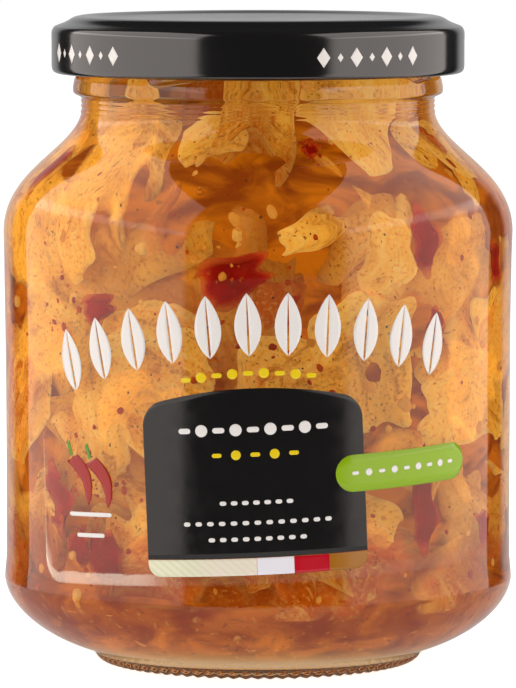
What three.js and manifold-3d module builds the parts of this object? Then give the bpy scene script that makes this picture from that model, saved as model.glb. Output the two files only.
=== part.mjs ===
// A shut glass jar of kimchi: blown glass, twist-off steel lid, cabbage heap and a printed clear film label.
// Millimetres, +Z up. The jar stands on z = 0, its axis is +Z and its label faces -Y.
import * as THREE from "three";
import { mergeVertices } from "three/addons/utils/BufferGeometryUtils.js";
import Module from "manifold-3d";

const wasm = await Module();
wasm.setup();

// Driving dimensions of the glass.
const panelRadius = 42.75; // straight band that carries the label
const panelLow = 18;
const panelHigh = 46;
const flareRadius = 42.9; // the band opens slightly towards the shoulder
const flareHeight = 62;
const heelRadius = 43.25; // lower bumper ring
const heelHeight = 14.5;
const shoulderRadius = 43.3; // upper bumper ring
const shoulderHeight = 73.1;
const neckRadius = 29.8;
const neckHeight = 94.6;
const footRadius = 27.9;
const bearingRadius = 25.3; // middle of the flat ring that the jar stands on
const bearingHalfWidth = 0.7;
const pushUp = 2; // how far the base is raised inside the foot ring
const baseThickness = 3.4;
const wall = 2.3;
const beadRadius = 31.3; // transfer bead under the lid
const beadHeight = 96.6;
const finishRadius = 30.3; // threaded part of the mouth, inside the lid
const rimHeight = 107.25;
const mouthRadius = 27.6;
const lugCount = 4;
const lugStart = -37; // degrees round the axis from the front, where the first thread lug begins
const lugSpan = 52; // degrees
const lugLowest = 98.3;
const lugClimb = 4.2;
const lugHeight = 1.7;
const lugReach = 1.9; // how far a lug stands out of the threaded wall
const lugRoot = 0.8; // how far a lug reaches into the glass that carries it

// Driving dimensions of the steel lid.
const lidRadius = 34.9;
const lidHeight = 109.5;
const lidPanelHeight = 108.3; // recessed top panel
const lidBeadRadius = 29.6; // crest of the raised ring round the panel
const lidLowEdge = 99.7;
const steel = 0.7;

// Driving dimensions of the label, measured along the wall and up from the black field's lower edge.
const labelTilt = 2.5; // degrees: the label was put on a little askew
const labelFoot = 22.54; // height of the black field's lower edge on the front line
const filmWidth = 82.4;
const filmLow = -4.4;
const filmHigh = 45.6;
const filmCorner = 4;
const fieldWidth = 36.9;
const fieldSide = 22.8;
const fieldCrown = 27.73;
const fieldBow = 0.00777; // fall of the crown for each square millimetre off its middle
const fieldCorner = 3.1;
const ribbonHeight = 2.85;
const ribbonCorner = 2.2;
const ribbonBlocks = [
  { name: "ribbon_pale", from: -18.45, to: -0.2, colour: "#c9d2b0" },
  { name: "ribbon_white", from: -0.2, to: 5.9, colour: "#f4f2ec" },
  { name: "ribbon_red", from: 5.9, to: 11.8, colour: "#c2272d" },
  { name: "ribbon_ochre", from: 11.8, to: 18.45, colour: "#b07a3a" },
];
const tag = { along: 26.4, up: 12.8, length: 26, height: 6.1 };
const leafCount = 11;
const leafSpacing = 6.55;
const leafLength = 10.3;
const leafWidth = 4.5;
const leafCrown = 38.1; // height of the middle leaf's centre
const leafBow = 0.0051;
const chillies = [
  { name: "chilli_left", along: -31.6, up: 12.6, lean: 24 },
  { name: "chilli_right", along: -27.4, up: 12.2, lean: 24 },
];
const chilliLength = 8.4;
const chilliWidth = 3.4;

// Lifts of the thin layers off the glass.
const filmLift = 0.1;
const filmThickness = 0.08;
const printLift = 0.28;
const inkThickness = 0.08;

// Driving dimensions of the heap.
const contactGap = 0.3;
const coreInset = 4.5; // how far the plain core lies inside the wall
const fillHeight = 102;
const pieceThickness = 5;
const cabbageRows = 6;
const cabbageLowest = 9;
const cabbageRowStep = 15.6;
const cabbageSpacing = 26;
const cabbageSize = 25;
const pepperCount = 6;
const pepperSize = 10;

const jarSides = 42;
const coreSides = 14;
const cabbageCells = 3;
const pepperCells = 2;

const radians = THREE.MathUtils.degToRad;

// A repeatable draw from 0 to 1 for a numbered piece and a numbered property.
function draw(piece, property) {
  const value = Math.sin(piece * 12.9898 + property * 78.233) * 43758.5453;
  return value - Math.floor(value);
}

function spread(piece, property, least, most) {
  return least + (most - least) * draw(piece, property);
}

// A closed geometry as a solid for joining and cutting, with its flat spots of no area left out.
function solidFrom(geometry) {
  const bare = geometry.clone();
  bare.deleteAttribute("normal");
  bare.deleteAttribute("uv");
  const merged = mergeVertices(bare, 1e-4);
  const kept = [];
  for (let i = 0; i < merged.index.count; i += 3) {
    const [a, b, c] = [0, 1, 2].map((k) => merged.index.getX(i + k));
    if (a !== b && b !== c && c !== a) kept.push(a, b, c);
  }
  return new wasm.Manifold(
    new wasm.Mesh({
      numProp: 3,
      vertProperties: merged.attributes.position.array,
      triVerts: new Uint32Array(kept),
    }),
  );
}

function geometryFrom(solid) {
  const mesh = solid.getMesh();
  const geometry = new THREE.BufferGeometry();
  geometry.setAttribute("position", new THREE.BufferAttribute(new Float32Array(mesh.vertProperties), 3));
  geometry.setIndex(new THREE.BufferAttribute(new Uint32Array(mesh.triVerts), 1));
  geometry.computeVertexNormals();
  return geometry;
}

// The main body of a joined solid: loose scraps fall away, and a hollow that joining sealed is filled.
function largestBody(solid) {
  return solid.decompose().reduce((best, body) => (body.volume() > best.volume() ? body : best));
}

// A profile of [radius, height] pairs turned round the Z axis.
function turned(profile, sides) {
  const points = profile.map(([radius, height]) => new THREE.Vector2(radius, height));
  return new THREE.LatheGeometry(points, sides).rotateX(Math.PI / 2);
}

// Points of the heel's rounded corner, from the foot out to the lower bumper ring.
function heelCurve(inset, steps, innerRadius, innerHeight) {
  const outer = heelRadius - inset;
  const roundness = 2 / 1.8;
  const points = [];
  for (let i = 0; i <= steps; i += 1) {
    const angle = (Math.PI / 2) * (i / steps);
    points.push([
      innerRadius + (outer - innerRadius) * Math.sin(angle) ** roundness,
      heelHeight - (heelHeight - innerHeight) * Math.cos(angle) ** roundness,
    ]);
  }
  return points;
}

// Points of the shoulder's S-curve, from the upper bumper ring up to the neck.
function shoulderCurve(inset, steps) {
  const drop = inset * 0.45; // the slanting wall keeps its thickness, so its inner face also lies lower
  const curve = new THREE.CubicBezierCurve(
    new THREE.Vector2(shoulderRadius - inset, shoulderHeight),
    new THREE.Vector2(shoulderRadius - inset, shoulderHeight + 11.2 - drop),
    new THREE.Vector2(neckRadius - inset - 0.6, neckHeight - 7.3 - drop),
    new THREE.Vector2(neckRadius - inset, neckHeight),
  );
  return curve.getPoints(steps).map((point) => [point.x, point.y]);
}

// The outer face of the glass from foot to mouth, as [radius, height] pairs.
function outerWall() {
  const heel = heelCurve(0, 7, 22, 1.5).filter(([radius]) => radius > footRadius);
  return [
    [bearingRadius - bearingHalfWidth, 0],
    [bearingRadius + bearingHalfWidth, 0],
    [27, 0.5],
    [footRadius - 0.1, 1.7],
    ...heel,
    [panelRadius, panelLow],
    [panelRadius, panelHigh],
    [flareRadius, flareHeight],
    [43.02, 69],
    ...shoulderCurve(0, 6),
  ];
}

// The inner face of the glass from the base out and up to the mouth.
function innerWall() {
  const floorHeight = pushUp + baseThickness;
  return [
    [0, floorHeight],
    ...heelCurve(wall, 3, 20, floorHeight),
    [panelRadius - wall, panelLow],
    [panelRadius - wall, panelHigh],
    [flareRadius - wall, flareHeight],
    ...shoulderCurve(wall, 4),
  ];
}

function heightToRadius(profile, height) {
  for (let i = 1; i < profile.length; i += 1) {
    const [lowRadius, low] = profile[i - 1];
    const [highRadius, high] = profile[i];
    if (height <= high && high > low) {
      const share = Math.max(0, (height - low) / (high - low));
      return lowRadius + (highRadius - lowRadius) * share;
    }
  }
  return profile[profile.length - 1][0];
}

// A closed thin solid over a grid of points: both faces are split alike, and a rim joins them.
function sheetGeometry(columns, rows, face) {
  const positions = [];
  for (const side of [0, 1]) {
    for (let i = 0; i <= columns; i += 1) {
      for (let j = 0; j <= rows; j += 1) positions.push(...face(i / columns, j / rows, side));
    }
  }
  const layer = (columns + 1) * (rows + 1);
  const at = (side, i, j) => side * layer + i * (rows + 1) + j;
  const index = [];
  const quad = (a, b, c, d) => index.push(a, b, c, a, c, d);
  for (let i = 0; i < columns; i += 1) {
    for (let j = 0; j < rows; j += 1) {
      quad(at(1, i, j), at(1, i + 1, j), at(1, i + 1, j + 1), at(1, i, j + 1));
      index.push(at(0, i, j), at(0, i, j + 1), at(0, i + 1, j + 1));
      index.push(at(0, i, j), at(0, i + 1, j + 1), at(0, i + 1, j));
    }
    quad(at(0, i, 0), at(0, i + 1, 0), at(1, i + 1, 0), at(1, i, 0));
    quad(at(0, i + 1, rows), at(0, i, rows), at(1, i, rows), at(1, i + 1, rows));
  }
  for (let j = 0; j < rows; j += 1) {
    quad(at(0, 0, j + 1), at(0, 0, j), at(1, 0, j), at(1, 0, j + 1));
    quad(at(0, columns, j), at(0, columns, j + 1), at(1, columns, j + 1), at(1, columns, j));
  }
  const geometry = new THREE.BufferGeometry();
  geometry.setAttribute("position", new THREE.Float32BufferAttribute(positions, 3));
  geometry.setIndex(index);
  return geometry;
}

function onCylinder(radius, along, height, unrollRadius) {
  const angle = along / unrollRadius;
  return [radius * Math.sin(angle), -radius * Math.cos(angle), height];
}

// A helical thread lug: low at its blunt start, rising to the right as seen from outside.
function lugGeometry(startDegrees) {
  const root = finishRadius - lugRoot;
  const bluntEnd = 0.25;
  const flank = 0.72; // the lug is rounded: its upper and lower edges stand out less than its middle
  return sheetGeometry(5, 2, (along, up, side) => {
    const angle = radians(startDegrees + lugSpan * along);
    const taper = Math.min(1, 5 * along + bluntEnd, 5 * (1 - along) + bluntEnd);
    const swell = up === 0.5 ? 1 : flank;
    const radius = root + side * (lugReach + lugRoot) * taper * swell;
    const height = lugLowest + lugClimb * along + lugHeight * up;
    return [radius * Math.sin(angle), -radius * Math.cos(angle), height];
  });
}

// The jar: one lathe-turned shell, open at the mouth, with its thread lugs joined on.
function glassJar() {
  const finish = [
    [neckRadius, 95.2],
    [beadRadius, 96],

    [beadRadius, 97.2],
    [beadRadius - 0.3, 98.9],
    [finishRadius, 99.8],
    [finishRadius, rimHeight - 0.8],
    [finishRadius - 0.6, rimHeight],
    [mouthRadius + 0.6, rimHeight],
    [mouthRadius, rimHeight - 0.6],
  ];
  const profile = [[0, pushUp], [bearingRadius - 2.6, pushUp - 0.5], ...outerWall(), ...finish];
  const shell = solidFrom(turned([...profile, ...innerWall().reverse()], jarSides));
  let jar = shell;
  for (let i = 0; i < lugCount; i += 1) {
    jar = jar.add(solidFrom(lugGeometry(lugStart + (360 / lugCount) * i)));
  }
  return geometryFrom(jar);
}

// The lid: a thin pressed shell with a recessed panel, a raised ring, a skirt and a curled lower edge.
function lidShell() {
  const underside = lidPanelHeight - steel;
  return turned(
    [
      [0, underside],
      [lidBeadRadius + 2, underside],

      [lidRadius - steel, underside - 1.5],
      [lidRadius - steel, lidLowEdge + 1.6],

      [lidRadius - 1.5, lidLowEdge + 0.4],
      [lidRadius - 0.9, lidLowEdge],
      [lidRadius - 0.2, lidLowEdge + 0.4],
      [lidRadius, lidLowEdge + 1.1],
      [lidRadius, lidHeight - 2.7],
      [lidRadius - 0.4, lidHeight - 1.9],
      [lidRadius - 2.5, lidHeight - 1.1],
      [lidBeadRadius + 1.6, lidHeight - 0.3],
      [lidBeadRadius, lidHeight],
      [lidBeadRadius - 1.4, lidHeight - 0.4],
      [lidBeadRadius - 2.8, lidPanelHeight],
      [0, lidPanelHeight],
    ],
    jarSides,
  );
}

// A point of the label's own flat drawing, turned by the label's tilt and put on the glass.
function onLabel(across, up, lift) {
  const tilt = radians(labelTilt);
  const along = across * Math.cos(tilt) - up * Math.sin(tilt);
  const height = labelFoot + across * Math.sin(tilt) + up * Math.cos(tilt);
  const radius = heightToRadius(outerWall(), height);
  return onCylinder(radius + lift, along, height, panelRadius);
}

// A printed field or film between two edges, given as heights over the label's width.
function labelPlate(plate) {
  const { from, to, low, high, columns, rows = [0, 1], lift = printLift, thickness = inkThickness } = plate;
  return geometryFrom(
    solidFrom(
      sheetGeometry(columns, rows.length - 1, (x, y, side) => {
        // columns crowd towards both ends, where the corners are round
        const across = from + ((to - from) * (1 - Math.cos(Math.PI * x))) / 2;
        const bottom = low(across);
        const up = bottom + (high(across) - bottom) * rows[Math.round(y * (rows.length - 1))];
        return onLabel(across, up, lift + side * thickness);
      }),
    ),
  );
}

// How far an edge draws back inside a round corner of the given size.
function cornerFall(distanceFromEnd, corner) {
  const inside = Math.max(0, corner - distanceFromEnd);
  return corner - Math.sqrt(Math.max(0, corner * corner - inside * inside));
}

function labelFilm() {
  const half = filmWidth / 2;
  const fall = (x) => cornerFall(half - Math.abs(x), filmCorner);
  return labelPlate({
    from: -half,
    to: half,
    low: (x) => filmLow + fall(x),
    high: (x) => filmHigh - fall(x),
    columns: 20,
    rows: [0, 0.06, 0.55, 0.86, 1], // more rows where the glass bends under the film
    lift: filmLift,
    thickness: filmThickness,
  });
}

// The black field, notched round the green tag that covers a part of its right side.
function blackField() {
  const half = fieldWidth / 2;
  const crown = (x) => fieldCrown - fieldBow * x * x;
  const field = labelPlate({
    from: -half,
    to: half,
    low: () => 0,
    high: (x) => Math.max(crown(x) - cornerFall(half - Math.abs(x), fieldCorner), fieldSide - 1),
    columns: 14,
    rows: [0, 0.5, 1],
  });
  const notch = greenTag({ margin: contactGap, lift: filmLift, thickness: 3 * printLift });
  return geometryFrom(solidFrom(field).subtract(solidFrom(notch)));
}

function ribbonBlock({ from, to }) {
  const gap = contactGap / 2;
  const half = fieldWidth / 2;
  return labelPlate({
    from: from + gap,
    to: to - gap,
    low: (x) => -ribbonHeight + cornerFall(half - Math.abs(x), ribbonCorner),
    high: () => -contactGap,
    columns: Math.ceil((to - from) / 2),
  });
}

function greenTag({ margin = 0, lift = printLift, thickness = inkThickness } = {}) {
  const half = tag.length / 2 + margin;
  const round = tag.height / 2 + margin;
  const rise = (x) => round - cornerFall(half - Math.abs(x - tag.along), round);
  const tip = 0.02; // the two ends are blunt by this much, so that no edge has zero length
  return labelPlate({
    from: tag.along - half + tip,
    to: tag.along + half - tip,
    low: (x) => tag.up - rise(x),
    high: (x) => tag.up + rise(x),
    columns: 14,
    lift,
    thickness,
  });
}

// A pointed leaf standing on the arch: its long axis fans out with its place.
function archLeaf(number) {
  const place = (number - (leafCount - 1) / 2) * leafSpacing;
  const fan = radians(place * 0.34);
  const middle = leafCrown - leafBow * place * place;
  return geometryFrom(
    solidFrom(
      sheetGeometry(5, 2, (x, y, side) => {
        const along = (x - 0.5) * leafLength;
        const half = (leafWidth / 2) * Math.sin(Math.PI * x) ** 0.75 * (1.12 - 0.3 * x);
        const across = (y - 0.5) * 2 * half;
        return onLabel(
          place - across * Math.cos(fan) + along * Math.sin(fan),
          middle + across * Math.sin(fan) + along * Math.cos(fan),
          printLift + side * inkThickness,
        );
      }),
    ),
  );
}

// A curved chilli pod, broad at its stalk end and pointed at its tip, and its stalk.
function chilliPod({ along, up, lean }) {
  const halfWidth = (t) => (chilliWidth / 2) * Math.sqrt(1 - t) * (0.85 + 0.15 * t);
  return chilliStroke(along, up, lean, 0, 1, halfWidth);
}

function chilliStalk({ along, up, lean }) {
  return chilliStroke(along, up, lean, -0.34, -0.05, () => 0.36);
}

function chilliStroke(along, up, lean, first, last, halfWidth) {
  return geometryFrom(
    solidFrom(
      sheetGeometry(6, 1, (x, y, side) => {
        const t = first + (last - first) * x;
        const down = (0.5 - t) * chilliLength;
        const bow = 1.5 * Math.sin(Math.PI * Math.max(0, t)) - 0.9 * Math.min(0, t);
        const across = bow + (y - 0.5) * 2 * halfWidth(Math.max(0, t));
        const turn = radians(lean);
        return onLabel(
          along + across * Math.cos(turn) - down * Math.sin(turn),
          up + across * Math.sin(turn) + down * Math.cos(turn),
          printLift + side * inkThickness,
        );
      }),
    ),
  );
}

// A wavy piece of the heap lying against the wall, as a solid that reaches into the core.
function heapPiece(number, angle, height, size, cells) {
  const turn = spread(number, 1, 0, Math.PI);
  const tall = spread(number, 2, 0.55, 0.85) * size;
  const wide = spread(number, 3, 0.7, 1.05) * size;
  const depth = spread(number, 4, 0.1, 1.3);
  const wave = spread(number, 5, 0.5, 1.3);
  const phase = spread(number, 6, 0, 2 * Math.PI);
  const curl = spread(number, 7, 0.4, 1.6);
  const inside = innerWall();
  return sheetGeometry(cells, cells, (u, v, side) => {
    const x = u * 2 - 1;
    const y = v * 2 - 1;
    // the outline is a rounded square whose sides bulge unevenly
    const shrink = 1 - 0.24 * x * x * y * y + 0.12 * Math.sin(3 * x + phase) * Math.cos(2 * y + phase);
    const across = (x * wide * shrink) / 2;
    const up = (y * tall * shrink) / 2;
    const along = across * Math.cos(turn) - up * Math.sin(turn);
    const z = height + across * Math.sin(turn) + up * Math.cos(turn);
    const wallRadius = heightToRadius(inside, z);
    const ripple = (1 + Math.sin(2.6 * x + phase) * Math.cos(1.9 * y)) / 2;
    const sink = depth + wave * ripple + (curl * (x * x + y * y)) / 2;
    const radius = Math.max(4, wallRadius - contactGap - sink - (1 - side) * pieceThickness);
    return onCylinder(radius, along + angle * wallRadius, z, wallRadius);
  });
}

// The heap: cabbage pieces in staggered rows with a few pepper squares, fused on a plain core.
function kimchiHeap() {
  const inside = innerWall();
  const floorHeight = pushUp + baseThickness;
  const drawnIn = (z) => (z < panelHigh ? z + contactGap : z - contactGap);
  const limitProfile = inside.map(([radius, z]) => [Math.max(0, radius - contactGap), drawnIn(z)]);
  const throat = mouthRadius - contactGap;
  const limit = solidFrom(
    turned([...limitProfile, [throat, neckHeight + 2], [throat, fillHeight], [0, fillHeight]], jarSides),
  );
  const coreProfile = inside
    .filter((point, i) => i % 2 === 0)
    .map(([radius, z]) => [Math.max(0, radius - coreInset), Math.max(z, floorHeight + 3)]);
  const coreTop = fillHeight - 1.5;
  let heap = solidFrom(turned([...coreProfile, [mouthRadius - coreInset, coreTop], [0, coreTop]], coreSides));
  let number = 0;
  for (let row = 0; row < cabbageRows; row += 1) {
    const height = cabbageLowest + row * cabbageRowStep;
    const around = Math.round((2 * Math.PI * heightToRadius(inside, height)) / cabbageSpacing);
    for (let i = 0; i < around; i += 1) {
      const angle = (2 * Math.PI * (i + 0.5 * (row % 2) + spread(number, 8, -0.22, 0.22))) / around;
      const lifted = height + spread(number, 9, -3, 3);
      heap = heap.add(solidFrom(heapPiece(number, angle, lifted, cabbageSize, cabbageCells)));
      number += 1;
    }
  }
  for (let i = 0; i < pepperCount; i += 1) {
    const angle = 2.4 * i; // close to the golden angle, so that they spread evenly
    const height = 16 + (70 * (i + 0.5)) / pepperCount;
    heap = heap.add(solidFrom(heapPiece(200 + i, angle, height, pepperSize, pepperCells)));
  }
  return geometryFrom(largestBody(heap.intersect(limit)));
}

function addPiece(group, name, geometry, colour, roughness, metalness, opacity = 1) {
  const material = new THREE.MeshStandardMaterial({ color: colour, roughness, metalness });
  material.opacity = opacity;
  material.transparent = opacity < 1;
  const mesh = new THREE.Mesh(geometry, material);
  mesh.name = name;
  group.add(mesh);
}

const kimchiJar = new THREE.Group();
addPiece(kimchiJar, "glass_jar", glassJar(), "#e8efe9", 0.03, 0, 0.3);
addPiece(kimchiJar, "lid", lidShell(), "#141414", 0.2, 0.1);
addPiece(kimchiJar, "kimchi", kimchiHeap(), "#c8802c", 0.4, 0);

const label = new THREE.Group();
addPiece(label, "label_film", labelFilm(), "#f5f5f5", 0.1, 0, 0.25);
addPiece(label, "label_black_field", blackField(), "#101010", 0.25, 0);
for (const block of ribbonBlocks) addPiece(label, block.name, ribbonBlock(block), block.colour, 0.3, 0);
addPiece(label, "green_tag", greenTag(), "#7fa514", 0.3, 0);
for (let i = 0; i < leafCount; i += 1) {
  addPiece(label, `white_leaf_${i + 1}`, archLeaf(i), "#f6f4ee", 0.35, 0);
}
for (const chilli of chillies) {
  addPiece(label, chilli.name, chilliPod(chilli), "#b3201c", 0.3, 0);
  addPiece(label, `${chilli.name}_stalk`, chilliStalk(chilli), "#4f7a22", 0.3, 0);
}
kimchiJar.add(label);

export default kimchiJar;
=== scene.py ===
import math

import bpy
import numpy as np
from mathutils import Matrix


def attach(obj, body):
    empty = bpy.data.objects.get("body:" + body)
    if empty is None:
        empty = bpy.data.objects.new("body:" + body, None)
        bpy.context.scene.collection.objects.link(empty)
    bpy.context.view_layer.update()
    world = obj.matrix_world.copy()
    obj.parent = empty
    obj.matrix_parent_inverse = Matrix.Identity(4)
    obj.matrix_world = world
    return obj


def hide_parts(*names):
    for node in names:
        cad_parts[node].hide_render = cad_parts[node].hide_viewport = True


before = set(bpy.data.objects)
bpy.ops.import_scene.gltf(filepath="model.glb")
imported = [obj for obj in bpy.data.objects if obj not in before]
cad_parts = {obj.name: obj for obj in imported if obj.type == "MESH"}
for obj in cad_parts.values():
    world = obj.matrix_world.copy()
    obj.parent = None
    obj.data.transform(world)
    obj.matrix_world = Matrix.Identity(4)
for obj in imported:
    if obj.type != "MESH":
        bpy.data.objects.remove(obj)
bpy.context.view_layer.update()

mm = 0.001  # everything below is written in millimetres, and meshes are made in metres


# shader maths
class Shade:
    # One socket of a node tree. Arithmetic on values adds Math nodes, and node() adds any other kind.
    def __init__(self, tree, socket=None):
        self.tree = tree
        self.socket = socket

    def node(self, kind, settings=None, sockets=None, output=0):
        made = self.tree.nodes.new(kind)
        for name, value in (settings or {}).items():
            setattr(made, name, value)
        for name, value in (sockets or {}).items():
            if isinstance(value, Shade):
                self.tree.links.new(value.socket, made.inputs[name])
            else:
                made.inputs[name].default_value = value
        return Shade(self.tree, made.outputs[output]) if made.outputs else None

    def math(self, operation, first, second=0.0):
        return self.node("ShaderNodeMath", {"operation": operation}, {0: first, 1: second})

    def __add__(self, other):
        return self.math("ADD", self, other)

    def __sub__(self, other):
        return self.math("SUBTRACT", self, other)

    def __rsub__(self, other):
        return self.math("SUBTRACT", other, self)

    def __mul__(self, other):
        return self.math("MULTIPLY", self, other)

    def __truediv__(self, other):
        return self.math("DIVIDE", self, other)

    def __lt__(self, other):
        return self.math("LESS_THAN", self, other)

    __radd__ = __add__
    __rmul__ = __mul__

    def fade(self, low, high, start=0.0, end=1.0):
        # a soft step from start to end while the value goes from low to high
        return self.node("ShaderNodeMapRange", {"interpolation_type": "SMOOTHSTEP"}, {
            "Value": self, "From Min": low, "From Max": high, "To Min": start, "To Max": end})

    def tint(self, first, second):
        # from the first colour at 0 to the second at 1
        return self.node("ShaderNodeMix", {"data_type": "RGBA"}, {0: self, 6: first, 7: second}, 2)

    def attribute(self, name, output=2):
        return self.node("ShaderNodeAttribute", {"attribute_name": name}, output=output)

    def noise(self, place, scale, detail=2.0, distortion=0.0):
        return self.node("ShaderNodeTexNoise", {}, {
            "Vector": place, "Scale": scale, "Detail": detail, "Distortion": distortion})

    def stretched(self, place, scale):
        return self.node("ShaderNodeVectorMath", {"operation": "MULTIPLY"}, {0: place, 1: scale})

    def warped(self, place, scale, distance):
        # the place pushed about by a noise, so that what is drawn over it isn't regular
        push = self.node("ShaderNodeTexNoise", {}, {"Vector": place, "Scale": scale, "Detail": 2.0}, 1)
        push = self.node("ShaderNodeVectorMath", {"operation": "SCALE"}, {0: push, "Scale": distance})
        return self.node("ShaderNodeVectorMath", {"operation": "ADD"}, {0: place, 1: push})

    def bump(self, height, distance):
        return self.node("ShaderNodeBump", {}, {"Height": height, "Distance": distance, "Strength": 1.0})

    def place(self):
        return self.node("ShaderNodeNewGeometry")

    def outputs(self, kind, names, sockets=None):
        # some of the outputs of one new node
        made = self.node(kind, {}, sockets).socket.node
        return [Shade(self.tree, made.outputs[name]) for name in names]

    def surface(self, sockets):
        return self.node("ShaderNodeBsdfPrincipled", {}, sockets)


def colour(code):
    # a hex colour as the linear numbers that sockets take
    parts = [int(code[i:i + 2], 16) / 255 for i in (1, 3, 5)]
    return tuple(c / 12.92 if c < 0.04045 else ((c + 0.055) / 1.055) ** 2.4 for c in parts) + (1,)


def layered(base, *layers):
    # a colour with others laid over it, each by a mask, a strength and a hex colour
    for mask, strength, code in layers:
        base = (mask * strength).tint(base, colour(code))
    return base


def emptyTree(holder):
    holder.use_nodes = True
    holder.node_tree.nodes.clear()
    return Shade(holder.node_tree)


def newFinish(name, describe, *settings):
    material = bpy.data.materials.new(name)
    start = emptyTree(material)
    start.node("ShaderNodeOutputMaterial", {}, {"Surface": describe(start, *settings)})
    return material


# meshes
def newObject(name, data):
    made = bpy.data.objects.new(name, data)
    bpy.context.scene.collection.objects.link(made)
    return made


def meshPiece(name, points, faces, finish, slot=None, replaces=(), attributes=None):
    # faces is a list of index arrays, each with 3 or 4 corners a row
    points = np.asarray(points, float)
    if enclosed(points, faces) < 0:
        faces = [group[:, ::-1] for group in faces]
    mesh = bpy.data.meshes.new(name)
    mesh.vertices.add(len(points))
    mesh.vertices.foreach_set("co", (points * mm).ravel())
    corners = np.concatenate([group.ravel() for group in faces])
    counts = np.concatenate([np.full(len(group), group.shape[1]) for group in faces])
    mesh.loops.add(len(corners))
    mesh.loops.foreach_set("vertex_index", corners)
    mesh.polygons.add(len(counts))
    mesh.polygons.foreach_set("loop_start", np.concatenate([[0], np.cumsum(counts)[:-1]]))
    mesh.polygons.foreach_set("use_smooth", np.ones(len(counts), bool))
    for key, values in (attributes or {}).items():
        layer = mesh.attributes.new(key, "FLOAT_VECTOR" if np.ndim(values) == 2 else "FLOAT", "POINT")
        layer.data.foreach_set("vector" if np.ndim(values) == 2 else "value", np.ravel(values))
    mesh.update(calc_edges=True)
    mesh.materials.append(finish)
    piece = newObject(name, mesh)
    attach(piece, "root")
    if replaces:
        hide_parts(*replaces)
    return piece


def enclosed(points, faces):
    # six times the enclosed volume, below zero where the faces look inwards
    total = 0.0
    for group in faces:
        for k in range(1, group.shape[1] - 1):
            a, b, c = (points[group[:, i]] for i in (0, k, k + 1))
            total += np.einsum("ij,ij->", a, np.cross(b, c))
    return total


def polar(angle, radius, height):
    # the angle goes round from the front to the right
    return np.stack([radius * np.sin(angle), -radius * np.cos(angle), height], -1)


def turned(profile, segments, field=None):
    # a profile of radius and height, with both ends on the axis, turned round it
    profile = np.asarray(profile, float)
    angle = np.arange(segments) * 2 * np.pi / segments
    radius = np.repeat(profile[1:-1, :1], segments, 1)
    height = np.repeat(profile[1:-1, 1:], segments, 1)
    if field:
        radius, height = field(angle[None, :], radius, height)
    ring = polar(angle, radius, height).reshape(-1, 3)
    points = np.vstack([[0, 0, profile[0, 1]], ring, [0, 0, profile[-1, 1]]])
    at = 1 + np.arange(len(ring)).reshape(-1, segments)
    after = np.roll(at, -1, 1)
    quads = np.stack([at[:-1], after[:-1], after[1:], at[1:]], -1).reshape(-1, 4)
    first = np.stack([np.zeros(segments, int), after[0], at[0]], -1)
    last = np.stack([at[-1], after[-1], np.full(segments, len(points) - 1)], -1)
    return points, [quads, first, last]


def slabFaces(rows, columns):
    # quads of a lower and an upper grid of points and of the rim that joins them
    at = np.arange(rows * columns).reshape(rows, columns)
    quads = np.stack([at[:-1, :-1], at[1:, :-1], at[1:, 1:], at[:-1, 1:]], -1).reshape(-1, 4)
    border = np.concatenate([at[:, 0], at[-1, 1:], at[-2::-1, -1], at[0, -2:0:-1]])
    after = np.roll(border, -1)
    layer = rows * columns
    rim = np.stack([border, after, after + layer, border + layer], -1)
    return np.vstack([quads + layer, quads[:, ::-1], rim])


def joined(parts):
    # several (points, faces, attributes) as one, their faces all with four corners
    points, faces, attributes, offset = [], [], {}, 0
    for part, quads, extra in parts:
        points.append(part)
        faces.append(quads + offset)
        for key, values in extra.items():
            attributes.setdefault(key, []).append(values)
        offset += len(part)
    attributes = {key: np.concatenate(values) for key, values in attributes.items()}
    return np.vstack(points), [np.vstack(faces)], attributes


def partsPiece(name, parts, finish, slot, replaces=()):
    points, faces, attributes = joined(parts)
    piece = meshPiece(name, points, faces, finish, slot, replaces, attributes)
    print(name, len(parts), "parts,", 2 * len(piece.data.polygons), "triangles")
    return piece


def filleted(points, size, steps=4):
    # rounds the corners of a profile
    points = [np.array(p, float) for p in points]
    made = [points[0]]
    for before, corner, after in zip(points, points[1:], points[2:]):
        back, on = before - corner, after - corner
        cosine = np.dot(back, on) / (np.linalg.norm(back) * np.linalg.norm(on))
        if cosine < -0.985:
            made.append(corner)
            continue
        near = min(size, 0.45 * np.linalg.norm(back), 0.45 * np.linalg.norm(on))
        start = corner + back / np.linalg.norm(back) * near
        end = corner + on / np.linalg.norm(on) * near
        for t in np.linspace(0, 1, steps + 1):
            made.append((1 - t) ** 2 * start + 2 * t * (1 - t) * corner + t ** 2 * end)
    return np.array(made + [points[-1]])


def denser(points, step):
    # splits the long stretches of a profile; step may depend on the place
    made = [points[0]]
    for start, end in zip(points, points[1:]):
        parts = max(1, math.ceil(np.linalg.norm(end - start) / step((start + end) / 2)))
        made += [start + (end - start) * (i + 1) / parts for i in range(parts)]
    return np.array(made)


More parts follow.
